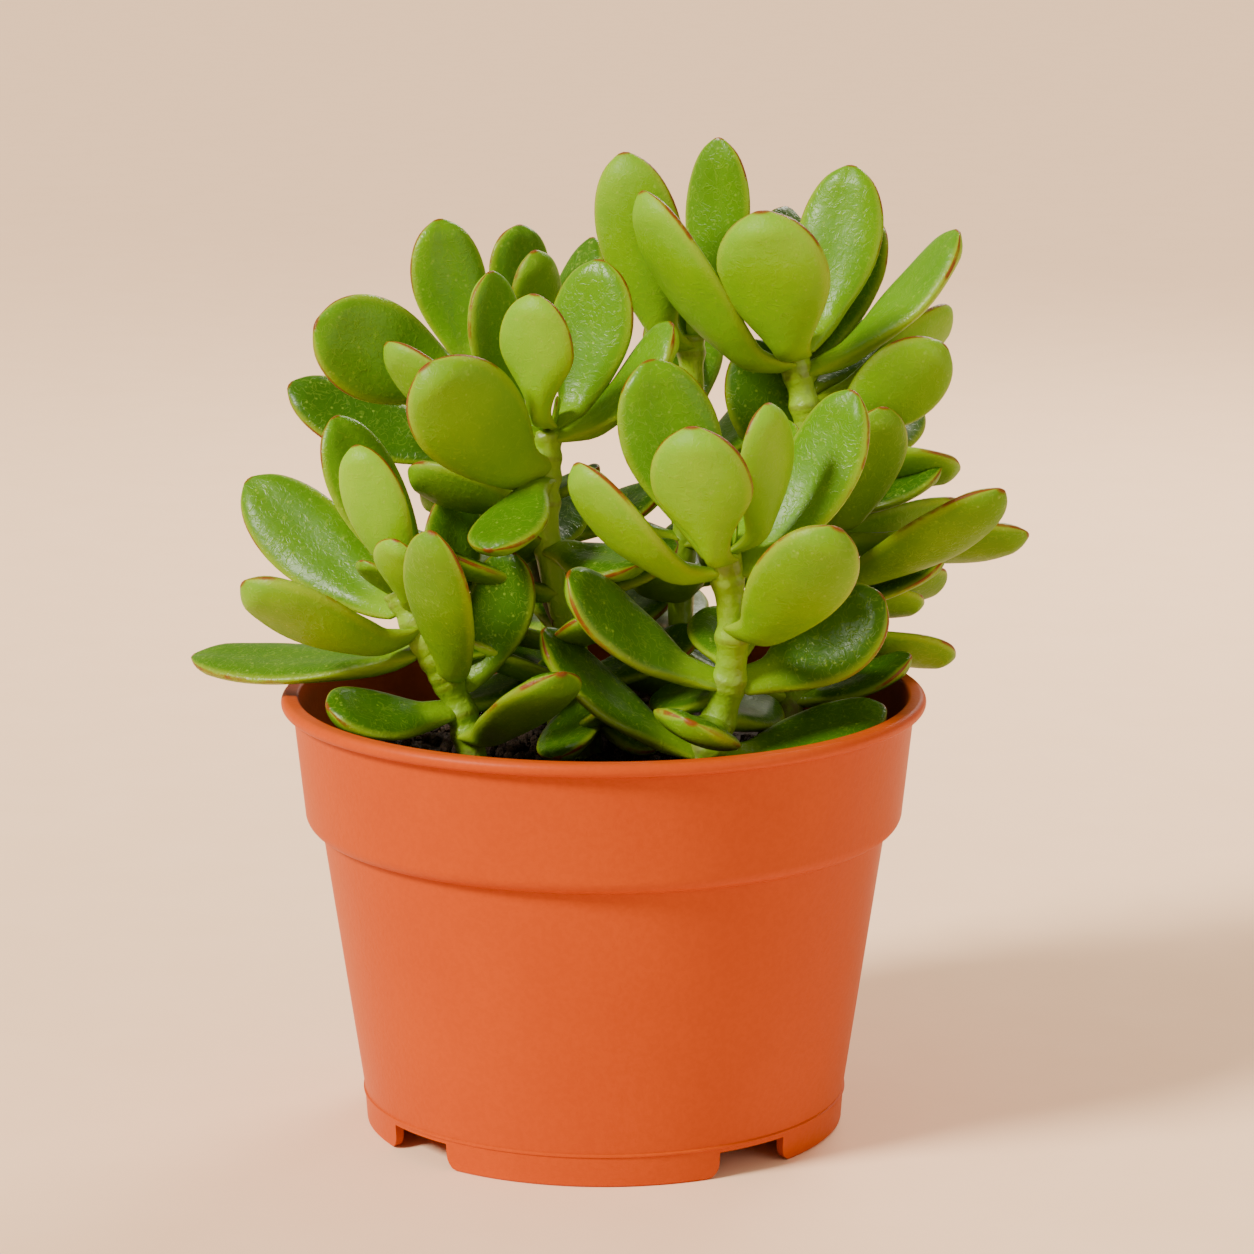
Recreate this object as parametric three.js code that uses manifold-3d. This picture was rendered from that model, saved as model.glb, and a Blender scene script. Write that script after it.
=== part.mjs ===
// A young jade plant: six rooted cuttings, one of them branched, in a round orange nursery pot.
// Millimetres, +Z up. The origin is where the pot's axis meets the surface it stands on.
import * as THREE from "three";
import { mergeVertices } from "three/addons/utils/BufferGeometryUtils.js";
import Module from "manifold-3d";

const wasm = await Module();
wasm.setup();

// ---------- driving dimensions ----------
const POT_HEIGHT = 88.5;
const LIP_RADIUS = 65; // the pot is a 13 cm one, measured over its lip
const LIP_HEIGHT = 2.7;
const LIP_OVERHANG = 2.4;
const BAND_HEIGHT = 23.6; // from the bottom of the band to the top of the lip
const BAND_TAPER = 2.2; // the band is this much narrower at its bottom
const BAND_OVERHANG = 3.3; // how far the band stands out over the body, and its rounding
const BODY_FOOT_RADIUS = 49;
const FOOT_HEIGHT = 6.5; // up to the parting line of the mould
const FOOT_RADIUS = 48.6;
const PARTING_LINE = 0.3; // the thin raised line where the mould halves met
const WALL = 1.7;
const FLOOR_UNDERSIDE = 6;
const LIP_EDGE = 0.6; // rounding of the lip's inner edge
const FOOT_EDGE = 0.4; // chamfer of the foot's edges
const NOTCH_WIDTH = 16;
const NOTCH_HEIGHT = 5.4;
const NOTCH_CORNER = 3;
const NOTCH_ANGLES = [-49, 37, 131, 217]; // degrees round from the front, in opposite pairs
const HOLE_RADIUS = 4.5;
const HOLE_COUNT = 6;
const HOLE_CIRCLE = 33;
const HOLE_SIDES = 16;
const CUT_REACH = 3; // how far a cutting tool reaches each way, in thicknesses of the wall
const POT_SEGMENTS = 48;

const SOIL_EDGE_DROP = 13; // from the top of the lip down to the soil against the wall
const SOIL_CROWN_DROP = 12.5; // and down to the soil in the middle
const SOIL_CLEARANCE = 0.3; // between the soil and the pot
const PLANTING_HEIGHT = 88.5; // the shoots' heights below are for a pot this high, and move with its lip
const ROOT_DEPTH = 18; // how deep each cutting sits in the soil
const ROOT_CLEARANCE = 0.6; // between a cutting and the soil round it

const STEM_SIDES = 8;
const STEM_STEP = 4; // length of one ring of a stem
const NODE_SWELL = 0.12; // a stem thickens by this share where leaves spring from it
const NODE_REACH = 2.5; // half the length of such a thickening
const STEM_TAPER = 0.12; // a stem is this share thinner at its top than in the soil

const LEAF_GAP = 0.4; // between a leaf's foot and its stem
const LEAF_THICKNESS = 0.24; // as a share of the leaf's width
const LEAF_SHOULDER = 0.62; // where along the leaf it is widest
const PETIOLE = 0.25; // width of the leaf's foot, as a share of its width
const UPPER_SHARE = 0.4; // the part of the thickness above the leaf's margin
const LENS = 1.4; // over 1 makes the margin sharper than an ellipse's
// How sharply a leaf narrows to its foot, for each shape of leaf.
const NECKS = { broad: 0.95, oval: 1.2, spoon: 1.7, paddle: 3.5 };
const FOOT_ROUNDING = 3; // how soon a leaf reaches its full outline from its foot
const BLADE_ROUNDING = 1.5; // how soon it reaches its full thickness from its ends
const LEAF_SIDES = 8;
const LEAF_RINGS = 7;
const BUD_LENGTH = 9;
const BUD_WIDTH = 5;
const BUD_LIFT = 78;
const BUD_CURL = 10;
const BACK_NODE_SPACING = 11;
const BACK_LENGTH = 38;
const BACK_WIDTH = 17;
const BACK_CURL = 20;
const BACK_LIFT = 6; // of the lowest back leaf
const BACK_LIFT_STEP = 9; // how much steeper each back leaf is than the one below it
const BACK_LENGTH_STEP = 1; // how much shorter

const degrees = THREE.MathUtils.degToRad;
const bandTopRadius = LIP_RADIUS - LIP_OVERHANG;
const bandTop = POT_HEIGHT - LIP_HEIGHT;
const bandBottom = POT_HEIGHT - BAND_HEIGHT;
const bandBottomRadius = bandTopRadius - BAND_TAPER;
const bodyTop = bandBottom - BAND_OVERHANG;
const bodyTopRadius = bandBottomRadius - BAND_OVERHANG;
const floorTop = FLOOR_UNDERSIDE + WALL;
const soilEdge = POT_HEIGHT - SOIL_EDGE_DROP;
const soilCrown = POT_HEIGHT - SOIL_CROWN_DROP;
const plantRise = POT_HEIGHT - PLANTING_HEIGHT;

// ---------- materials ----------
const orangePlastic = new THREE.MeshStandardMaterial({ color: 0xd9602a, roughness: 0.55, metalness: 0 });
const darkSoil = new THREE.MeshStandardMaterial({ color: 0x3a2619, roughness: 0.95, metalness: 0 });
const greenStem = new THREE.MeshStandardMaterial({ color: 0x8aa535, roughness: 0.55, metalness: 0 });
const greenLeaf = new THREE.MeshStandardMaterial({ color: 0x6f9c1c, roughness: 0.35, metalness: 0 });

// ---------- solids ----------
// A three.js geometry as a closed solid, its shared vertices merged.
function solidOf(geometry) {
  const bare = geometry.clone();
  bare.deleteAttribute("normal");
  bare.deleteAttribute("uv");
  const merged = mergeVertices(bare, 1e-4);
  const vertProperties = new Float32Array(merged.attributes.position.array);
  const triVerts = new Uint32Array(merged.index.array);
  return new wasm.Manifold(new wasm.Mesh({ numProp: 3, vertProperties, triVerts }));
}

// The solid's surface, back as a three.js geometry.
function geometryOf(solid) {
  const { numProp, vertProperties, triVerts } = solid.getMesh();
  const positions = new Float32Array((vertProperties.length / numProp) * 3);
  for (let i = 0; i < positions.length / 3; i++) {
    positions.set(vertProperties.subarray(i * numProp, i * numProp + 3), i * 3);
  }
  const geometry = new THREE.BufferGeometry();
  geometry.setAttribute("position", new THREE.BufferAttribute(positions, 3));
  geometry.setIndex(new THREE.BufferAttribute(new Uint32Array(triVerts), 1));
  geometry.computeVertexNormals();
  return geometry;
}

function named(name, geometry, material) {
  const mesh = new THREE.Mesh(geometry, material);
  mesh.name = name;
  return mesh;
}

// ---------- the nursery pot ----------
const slope = (z, lowZ, lowRadius, highZ, highRadius) =>
  lowRadius + ((z - lowZ) / (highZ - lowZ)) * (highRadius - lowRadius);
const bodyRadius = (z) => slope(z, FOOT_HEIGHT, BODY_FOOT_RADIUS, bodyTop, bodyTopRadius);
const bandRadius = (z) => slope(z, bandBottom, bandBottomRadius, bandTop, bandTopRadius);

// Points on an arc of a profile, from one angle to another in degrees.
function arc(radius, height, round, from, to, steps) {
  return Array.from({ length: steps + 1 }, (_, i) => {
    const angle = degrees(from + ((to - from) * i) / steps);
    return [radius + round * Math.cos(angle), height + round * Math.sin(angle)];
  });
}

function lathe(profile) {
  const points = profile.map(([radius, height]) => new THREE.Vector2(radius, height));
  return new THREE.LatheGeometry(points, POT_SEGMENTS).rotateX(Math.PI / 2);
}

function potWall() {
  const footInner = FOOT_RADIUS - WALL;
  const lipRound = LIP_HEIGHT / 2;
  const shoulder = bandBottom + WALL; // the step inside, just above the one outside
  return [
    [0, FLOOR_UNDERSIDE],
    [footInner, FLOOR_UNDERSIDE],
    [footInner, FOOT_EDGE],
    [footInner + FOOT_EDGE, 0],
    [FOOT_RADIUS - FOOT_EDGE, 0],
    [FOOT_RADIUS, FOOT_EDGE],
    [BODY_FOOT_RADIUS, FOOT_HEIGHT - PARTING_LINE],
    [BODY_FOOT_RADIUS + PARTING_LINE, FOOT_HEIGHT],
    [BODY_FOOT_RADIUS, FOOT_HEIGHT + PARTING_LINE],
    ...arc(bodyTopRadius, bandBottom, BAND_OVERHANG, -90, 0, 4),
    [bandTopRadius, bandTop],
    ...arc(LIP_RADIUS - lipRound, POT_HEIGHT - lipRound, lipRound, -90, 90, 5),
    ...arc(bandTopRadius, POT_HEIGHT - LIP_EDGE, LIP_EDGE, 90, 180, 2),
    [bandTopRadius - WALL, bandTop],
    [bandRadius(shoulder) - WALL, shoulder],
    [bodyTopRadius - WALL, bodyTop + WALL],
    [bodyRadius(floorTop + WALL) - WALL, floorTop + WALL],
    [bodyRadius(floorTop) - 2 * WALL, floorTop],
    [0, floorTop],
  ];
}

// One notch through the foot, open below, with the corners of the feet rounded off.
function footNotch(angle) {
  const half = NOTCH_WIDTH / 2;
  const outline = new THREE.Shape();
  outline.moveTo(-half - NOTCH_CORNER, -NOTCH_CORNER);
  outline.lineTo(-half - NOTCH_CORNER, 0);
  outline.quadraticCurveTo(-half, 0, -half, NOTCH_CORNER);
  outline.lineTo(-half, NOTCH_HEIGHT);
  outline.lineTo(half, NOTCH_HEIGHT);
  outline.lineTo(half, NOTCH_CORNER);
  outline.quadraticCurveTo(half, 0, half + NOTCH_CORNER, 0);
  outline.lineTo(half + NOTCH_CORNER, -NOTCH_CORNER);
  const through = 2 * CUT_REACH * WALL;
  const cut = new THREE.ExtrudeGeometry(outline, { depth: through, bevelEnabled: false, curveSegments: 4 });
  return cut.rotateX(Math.PI / 2).translate(0, through / 2 - FOOT_RADIUS, 0).rotateZ(degrees(angle));
}

function drainHole(index) {
  const angle = (2 * Math.PI * index) / HOLE_COUNT;
  const depth = 2 * CUT_REACH * WALL;
  const cut = new THREE.CylinderGeometry(HOLE_RADIUS, HOLE_RADIUS, depth, HOLE_SIDES).rotateX(Math.PI / 2);
  return cut.translate(HOLE_CIRCLE * Math.cos(angle), HOLE_CIRCLE * Math.sin(angle), floorTop);
}

function nurseryPot() {
  let pot = solidOf(lathe(potWall()));
  for (const angle of NOTCH_ANGLES) pot = pot.subtract(solidOf(footNotch(angle)));
  for (let i = 0; i < HOLE_COUNT; i++) pot = pot.subtract(solidOf(drainHole(i)));
  return geometryOf(pot);
}

// ---------- the cuttings ----------
// Each shoot is one stem: its radius, the points its middle passes through, and the heading of the
// bud pair at its top. A leaf is [height on the stem, heading, lift, length, width, roll, curl,
// shape]. Heading turns from +X towards +Y, lift rises from the horizontal, roll turns the leaf about
// its own length and curl bends its tip up, all in degrees. Leaves spring in pairs, each pair about a
// quarter turn from the one below, and lean towards the light. Lower leaves come first. Each leaf is
// a piece of its own, and the smaller ones that stand behind them are joined to their stem.
const SHOOTS = {
  front: {
    radius: 3.2,
    route: [[19, -25, 76], [24, -27, 94], [25, -29, 108], [23, -31, 123]],
    bud: 20,
    leaves: [
      [81, 180, 41, 36, 17, -20, 25, "oval"],
      [81, 15, 15, 33, 18, 20, 20, "oval"],
      [88, -100, 15, 28, 18, -20, 15, "oval"],
      [88, 75, -5, 34, 16, 20, 20, "spoon"],
      [96, -165, 40, 35, 17, -40, 25, "oval"],
      [96, 5, 35, 30, 19, 50, 35, "oval"],
      [106, -55, 45, 37, 19, -35, 15, "broad"],
      [118, -165, 45, 34, 17, 25, 40, "oval"],
      [118, 10, 60, 39, 18, 40, 35, "oval"],
      [121, -115, 65, 33, 20, 10, 15, "paddle"],
      [121, 150, 70, 39, 20, -50, 20, "spoon"],
      [122, -60, 80, 30, 14, 10, 20, "spoon"],
      [122, 70, 35, 36, 16, -15, 20, "spoon"],
    ],
    joined: [
      [94, 120, -10, 26, 14, -25, 15, "oval"],
    ],
  },
  left: {
    radius: 3,
    route: [[-26, -14, 76], [-29, -13, 89], [-35, -14, 101], [-41, -12, 112]],
    bud: 0,
    leaves: [
      [82, -60, 30, 38, 18, 0, 15, "broad"],
      [88, -155, 10, 24, 17, -25, 15, "oval"],
      [91, -5, 75, 27, 15, 65, 20, "oval"],
      [94, -100, 55, 41, 16, -25, 20, "broad"],
      [100, 155, -5, 50, 17, -15, 15, "oval"],
      [100, 80, 57, 32, 14, 45, 15, "spoon"],
      [103, -165, 25, 34, 18, 40, 20, "oval"],
      [108, 140, 30, 46, 18, -45, 20, "oval"],
      [108, -100, 50, 20, 12, -20, 10, "spoon"],
      [110, 155, 60, 38, 16, -35, 20, "oval"],
      [111, -170, 70, 30, 14, 55, 15, "oval"],
    ],
    joined: [
      [111, -140, 40, 12, 8, 10, 10, "oval"],
    ],
  },
  middle: {
    radius: 2.8,
    route: [[-3, -2, 76], [-5, -4, 94], [-11, -6, 118], [-11, -6, 143]],
    bud: 0,
    leaves: [
      [119, -45, 0, 22, 16, 15, 20, "broad"],
      [128, 175, 15, 24, 16, 40, 25, "oval"],
      [133, -115, -25, 24, 16, 5, 15, "oval"],
      [133, -140, 45, 35, 22, 65, 15, "broad"],
      [137, 180, 40, 35, 15, 45, 20, "spoon"],
      [141, 170, 80, 33, 16, -30, 20, "spoon"],
      [141, -5, 50, 30, 17, 25, 30, "spoon"],
      [142, 45, 75, 34, 19, 15, 20, "spoon"],
      [143, -100, 75, 29, 16, -15, 10, "paddle"],
    ],
    joined: [
      [89, -110, -35, 18, 15, 20, 15, "oval"],
      [87, -5, -30, 18, 15, 15, 15, "oval"],
    ],
  },
  side: {
    radius: 2.5,
    branch_of: "middle",
    route: [[-8, -5, 104], [-15, 5, 117], [-21, 10, 132], [-24, 12, 151]],
    bud: 60,
    leaves: [
      [134, 165, 20, 42, 16, -45, 20, "spoon"],
      [149, -160, 25, 34, 21, -80, 15, "oval"],
      [151, 140, 75, 32, 16, -30, 20, "spoon"],
    ],
  },
  right: {
    radius: 3,
    route: [[36, 12, 76], [43, 14, 96], [45, 16, 116], [42, 18, 138], [38, 19, 156]],
    bud: 120,
    leaves: [
      [98, 20, -15, 28, 14, -35, 5, "spoon"],
      [107, 40, -5, 30, 15, -40, 20, "spoon"],
      [109, -40, 30, 45, 17, -25, 25, "oval"],
      [116, -15, 5, 38, 17, -35, 15, "spoon"],
      [118, -60, 60, 32, 16, -10, 15, "oval"],
      [125, 135, 65, 34, 18, -40, 15, "spoon"],
      [134, 5, -10, 26, 16, -35, 20, "spoon"],
      [137, -10, 40, 29, 18, -65, 15, "oval"],
      [143, 30, 29, 35, 17, -55, 20, "spoon"],
      [150, 5, 45, 39, 17, 15, 30, "spoon"],
      [151, -170, 55, 46, 18, 30, 30, "oval"],
      [153, -120, 65, 35, 23, 15, 15, "spoon"],
      [154, 55, 70, 38, 18, 15, 15, "spoon"],
    ],
    joined: [
      [132, 55, 10, 40, 16, 25, 15, "oval"],
      [118, 35, 0, 36, 16, -50, 15, "oval"],
      [106, 15, -10, 22, 13, -35, 15, "oval"],
      [154, 90, 45, 38, 16, 35, 15, "spoon"],
      [148, 60, 45, 44, 16, -5, 15, "spoon"],
      [146, 55, 20, 36, 15, 0, 15, "spoon"],
    ],
  },
  back_right: {
    radius: 2.8,
    route: [[16, 25, 76], [16, 28, 101], [18, 30, 135], [18, 30, 157]],
    bud: 130,
    leaves: [
      [153, -145, 75, 43, 18, 40, 15, "spoon"],
      [156, 50, 85, 40, 15, 10, 15, "spoon"],
    ],
    joined: [
      [143, 100, 45, 30, 16, 35, 15, "spoon"],
    ],
    back_leaves: { from: 95, to: 140, headings: [95, 40] },
  },
  back_left: {
    radius: 2.8,
    route: [[-9, 25, 76], [-11, 30, 101], [-15, 32, 132], [-15, 32, 158]],
    bud: 40,
    leaves: [
      [154, 100, 80, 24, 15, 25, 15, "spoon"],
    ],
    joined: [
      [146, -85, 65, 32, 14, 35, 15, "oval"],
      [143, 60, 50, 40, 14, -15, 15, "spoon"],
    ],
    back_leaves: { from: 94, to: 140, headings: [105, 165] },
  },
};

// The middle line of a stem; a rooted one starts straight down in the soil.
function stemLine({ route, branch_of }) {
  const points = route.map((point) => new THREE.Vector3(...point));
  const [x, y, z] = route[0];
  if (!branch_of) points.unshift(new THREE.Vector3(x, y, z - ROOT_DEPTH));
  return new THREE.CatmullRomCurve3(points);
}

// Where along the line, from 0 to 1, the stem reaches a height.
function stationAt(line, height) {
  let low = 0;
  let high = 1;
  for (let i = 0; i < 30; i++) {
    const middle = (low + high) / 2;
    if (line.getPointAt(middle).z < height) low = middle;
    else high = middle;
  }
  return (low + high) / 2;
}

// Thinner towards the top, and swollen at the height of each leaf.
function stemRadius(shoot, share, height) {
  const swelling = shoot.leaves.map(([at]) => Math.max(0, 1 - Math.abs(height - at) / NODE_REACH));
  const taper = 1 - STEM_TAPER * share;
  return shoot.radius * taper * (1 + NODE_SWELL * Math.max(0, ...swelling));
}

// A tube along the line whose rings are then drawn in or out to the stem's radius.
function stemTube(shoot) {
  const line = stemLine(shoot);
  const steps = Math.ceil(line.getLength() / STEM_STEP);
  const ring = new THREE.Shape(
    Array.from({ length: STEM_SIDES }, (_, i) => {
      const angle = (2 * Math.PI * i) / STEM_SIDES;
      return new THREE.Vector2(Math.cos(angle), Math.sin(angle));
    }),
  );
  const tube = new THREE.ExtrudeGeometry(ring, { steps, bevelEnabled: false, extrudePath: line });
  const stations = line.getSpacedPoints(steps);
  const position = tube.attributes.position;
  const vertex = new THREE.Vector3();
  for (let i = 0; i < position.count; i++) {
    vertex.fromBufferAttribute(position, i);
    const distances = stations.map((station) => station.distanceTo(vertex));
    const nearest = distances.indexOf(Math.min(...distances));
    const middle = stations[nearest];
    vertex.sub(middle).multiplyScalar(stemRadius(shoot, nearest / steps, middle.z)).add(middle);
    position.setXYZ(i, vertex.x, vertex.y, vertex.z);
  }
  return solidOf(tube);
}

// Half the leaf's width at a point along it, as a share of its greatest half width: a narrow foot
// that swells to the shoulder, then a rounded head.
function outline(along, neck) {
  if (along > LEAF_SHOULDER) {
    const past = (along - LEAF_SHOULDER) / (1 - LEAF_SHOULDER);
    return Math.sqrt(Math.max(0, 1 - past * past));
  }
  const rise = Math.sin((Math.PI / 2) * (along / LEAF_SHOULDER)) ** neck;
  return PETIOLE + (1 - PETIOLE) * rise;
}

// Height of a bent leaf's middle line over the straight line between its ends: zero at both ends and
// lowest halfway, where its turn from that straight line is zero.
const sag = (long, bend, turn) => (long * (Math.cos(bend / 2) - Math.cos(turn))) / (2 * Math.sin(bend / 2));

// A thick leaf lying along +X from its foot at the origin, its upper face towards +Z. A sphere's
// poles become its foot and its tip, and each ring becomes a lens that is flatter above.
function leafGeometry([, , , long, wide, , curl, shape]) {
  const sphere = new THREE.SphereGeometry(1, LEAF_SIDES, LEAF_RINGS);
  const position = sphere.attributes.position;
  const bend = degrees(curl);
  for (let i = 0; i < position.count; i++) {
    const polar = position.getY(i);
    const along = (1 - polar) / 2;
    const ring = Math.sqrt(Math.max(0, 1 - polar * polar));
    const around = ring < 1e-6 ? 0 : 1 / ring;
    const side = position.getX(i) * around;
    const face = position.getZ(i) * around;
    const footRound = along > LEAF_SHOULDER ? 1 : Math.min(1, FOOT_ROUNDING * ring);
    const halfWidth = (wide / 2) * outline(along, NECKS[shape]) * footRound;
    const depth = LEAF_THICKNESS * wide * (face > 0 ? UPPER_SHARE : 1 - UPPER_SHARE);
    const fullness = Math.min(1, BLADE_ROUNDING * ring);
    const halfThickness = depth * fullness * Math.sign(face) * Math.abs(face) ** LENS;
    const turn = (along - 0.5) * bend;
    position.setXYZ(
      i,
      long * along - halfThickness * Math.sin(turn),
      side * halfWidth,
      halfThickness * Math.cos(turn) + sag(long, bend, turn),
    );
  }
  return sphere;
}

function leafDirection(heading, lift) {
  const level = Math.cos(degrees(lift));
  return new THREE.Vector3(
    level * Math.cos(degrees(heading)),
    level * Math.sin(degrees(heading)),
    Math.sin(degrees(lift)),
  );
}

// Where a leaf's foot sits: beside the stem, on the leaf's own side, clear of the stem's surface.
function leafFoot(shoot, [at, heading, lift, , wide]) {
  const line = stemLine(shoot);
  const station = stationAt(line, at);
  const up = line.getTangentAt(station);
  const direction = leafDirection(heading, lift);
  const steepness = Math.abs(direction.dot(up));
  const outward = direction.addScaledVector(up, -direction.dot(up)).normalize();
  const reach = shoot.radius * (1 + NODE_SWELL) + LEAF_GAP + (PETIOLE * wide * steepness) / 2;
  return line.getPointAt(station).addScaledVector(outward, reach);
}

function leafMesh(name, shoot, leaf) {
  const [, heading, lift, , , roll] = leaf;
  const mesh = named(name, leafGeometry(leaf), greenLeaf);
  mesh.position.copy(leafFoot(shoot, leaf));
  mesh.rotation.set(degrees(roll), -degrees(lift), degrees(heading), "ZYX");
  return mesh;
}

// A leaf that is joined to its stem: its foot is on the stem's middle line, not clear of the stem.
function joinedLeaf(shoot, leaf) {
  const mesh = leafMesh("joined", shoot, leaf);
  const line = stemLine(shoot);
  mesh.position.copy(line.getPointAt(stationAt(line, leaf[0])));
  mesh.updateMatrixWorld();
  return solidOf(mesh.geometry.applyMatrix4(mesh.matrixWorld));
}

// The two small leaves that are opening at the top of a stem.
function budPair({ route, bud }) {
  const height = route.at(-1)[2] - BUD_WIDTH / 2;
  return [0, 180].map((turn) => [height, bud + turn, BUD_LIFT, BUD_LENGTH, BUD_WIDTH, 0, BUD_CURL, "spoon"]);
}

// The leaves behind a back stem: one at each node, turned from side to side and steeper upwards.
function backLeaves({ back_leaves }) {
  if (!back_leaves) return [];
  const { from, to, headings } = back_leaves;
  const count = Math.floor((to - from) / BACK_NODE_SPACING) + 1;
  return Array.from({ length: count }, (_, k) => {
    const lift = BACK_LIFT + BACK_LIFT_STEP * k;
    const heading = headings[k % headings.length];
    const long = BACK_LENGTH - BACK_LENGTH_STEP * k;
    return [from + k * BACK_NODE_SPACING, heading, lift, long, BACK_WIDTH, 0, BACK_CURL, "spoon"];
  });
}

// A stem with its buds, its joined leaves and the branches that leave it, as one solid.
function stemSolid(place) {
  const shoot = SHOOTS[place];
  const leaves = [...budPair(shoot), ...(shoot.joined ?? []), ...backLeaves(shoot)];
  const branches = Object.keys(SHOOTS).filter((other) => SHOOTS[other].branch_of === place);
  const pieces = [...leaves.map((leaf) => joinedLeaf(shoot, leaf)), ...branches.map(stemSolid)];
  return pieces.reduce((stem, piece) => stem.add(piece), stemTube(shoot));
}

// ---------- the soil ----------
// It fills the pot with a small clearance, and has a hole for each rooted stem.
function pottingSoil() {
  const gap = SOIL_CLEARANCE;
  const shoulder = bandBottom + WALL;
  const wallRadius = (z) => bodyRadius(z) - WALL - gap;
  const bedTop = floorTop + gap;
  let soil = solidOf(
    lathe([
      [0, bedTop],
      [wallRadius(bedTop) - WALL, bedTop],
      [wallRadius(bedTop + WALL), bedTop + WALL],
      [bodyTopRadius - WALL - gap, bodyTop + WALL],
      [bandRadius(shoulder) - WALL - gap, shoulder + gap],
      [bandRadius(soilEdge) - WALL - gap, soilEdge],
      [0, soilCrown],
    ]),
  );
  for (const { radius, route, branch_of } of Object.values(SHOOTS)) {
    if (branch_of) continue;
    const [x, y, z] = route[0];
    const wide = radius + ROOT_CLEARANCE;
    const hole = new THREE.CylinderGeometry(wide, wide, 2 * ROOT_DEPTH, HOLE_SIDES).rotateX(Math.PI / 2);
    const deepest = z + plantRise - ROOT_DEPTH - ROOT_CLEARANCE;
    soil = soil.subtract(solidOf(hole.translate(x, y, deepest + ROOT_DEPTH)));
  }
  return geometryOf(soil);
}

// ---------- the plant in its pot ----------
const plant = new THREE.Group();
plant.add(named("nursery_pot", nurseryPot(), orangePlastic));
plant.add(named("potting_soil", pottingSoil(), darkSoil));

const cuttings = new THREE.Group();
cuttings.position.z = plantRise;
for (const [place, shoot] of Object.entries(SHOOTS)) {
  shoot.leaves.forEach((leaf, i) => cuttings.add(leafMesh(`${place}_leaf_${i + 1}`, shoot, leaf)));
  if (!shoot.branch_of) cuttings.add(named(`${place}_stem`, geometryOf(stemSolid(place)), greenStem));
}
plant.add(cuttings);

export default plant;
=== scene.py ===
# %% [markdown]
# # A jade plant in a nursery pot
# A jade plant is a succulent: thick stems, and thick leaves in opposite pairs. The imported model
# already holds the place and size of every leaf, as a coarse solid of fifty points. This lesson
# measures those solids and grows a fine leaf, stem, pot and soil bed in their place.

import math
import random

import bmesh
import bpy
import numpy as np
from mathutils import Matrix, Vector, noise


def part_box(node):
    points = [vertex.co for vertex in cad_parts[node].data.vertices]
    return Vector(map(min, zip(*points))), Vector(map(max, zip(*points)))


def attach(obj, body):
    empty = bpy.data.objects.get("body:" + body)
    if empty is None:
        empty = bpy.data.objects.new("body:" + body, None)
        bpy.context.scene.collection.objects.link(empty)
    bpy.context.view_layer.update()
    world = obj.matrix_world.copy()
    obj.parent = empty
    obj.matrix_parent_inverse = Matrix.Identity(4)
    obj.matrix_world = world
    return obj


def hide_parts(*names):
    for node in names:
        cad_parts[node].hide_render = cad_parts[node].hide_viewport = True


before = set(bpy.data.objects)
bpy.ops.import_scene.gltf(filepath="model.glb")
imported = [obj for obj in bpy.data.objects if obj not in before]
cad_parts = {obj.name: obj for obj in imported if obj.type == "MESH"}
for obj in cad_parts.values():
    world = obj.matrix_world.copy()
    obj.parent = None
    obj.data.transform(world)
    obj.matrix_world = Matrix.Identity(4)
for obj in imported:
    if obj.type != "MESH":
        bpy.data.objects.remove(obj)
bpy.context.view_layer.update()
MM = 0.001

# %% [markdown]
# ## The camera
# A long lens from just under a metre, looking a little down, keeps the pot's sides nearly parallel.
# The camera is made first so that each later step can be looked at from the same place.

# %% Camera
SENSOR = 36
LENS = 126.2
CAMERA_PLACE = (0, -0.8652, 0.2807)
LOOK_DOWN, LOOK_ASIDE = 11.7, -0.31
camera = bpy.data.objects.new("camera", bpy.data.cameras.new("camera"))
camera.data.sensor_width = SENSOR
camera.data.lens = LENS
camera.location = CAMERA_PLACE
camera.rotation_euler = (math.radians(90 - LOOK_DOWN), 0, math.radians(LOOK_ASIDE))
bpy.context.scene.collection.objects.link(camera)
bpy.context.scene.camera = camera
print("camera lens", camera.data.lens)

# %% [markdown]
# ## Turning a bmesh into a piece
# Each new piece is modelled in a bmesh, written to an object whose origin stays at zero, hung on the
# body that it rides on and given its finish, and the solid that it stands for is hidden. A closed piece
# has two faces at every edge, so any edge that has more or fewer is counted and printed.


# %% Finish a piece
def tell_open_edges(name, bm):
    loose = sum(1 for e in bm.edges if not e.is_manifold)
    if loose:
        print(name, "has", loose, "open edges")


def piece(name, bm, material, node=None):
    tell_open_edges(name, bm)
    mesh = bpy.data.meshes.new(name)
    bm.to_mesh(mesh)
    bm.free()
    for polygon in mesh.polygons:
        polygon.use_smooth = True
    made = bpy.data.objects.new(name, mesh)
    bpy.context.scene.collection.objects.link(made)
    mesh.materials.append(material)
    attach(made, "root")
    if node:
        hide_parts(node)
    return made


# %% [markdown]
# ## Shader helpers
# A material is a small network of nodes. These helpers add a node, set its sockets by name and link
# others into it, so that each finish below reads as a list of what it does.


# %% Node helpers
def add(tree, kind, inputs=None, **settings):
    node = tree.nodes.new(kind)
    for name, value in settings.items():
        setattr(node, name, value)
    for name, value in (inputs or {}).items():
        socket = node.inputs[name]
        if isinstance(value, bpy.types.NodeSocket):
            tree.links.new(value, socket)
        else:
            socket.default_value = value
    return node


def math_node(tree, operation, first, second=0.0):
    return add(tree, "ShaderNodeMath", {0: first, 1: second}, operation=operation).outputs[0]


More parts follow.
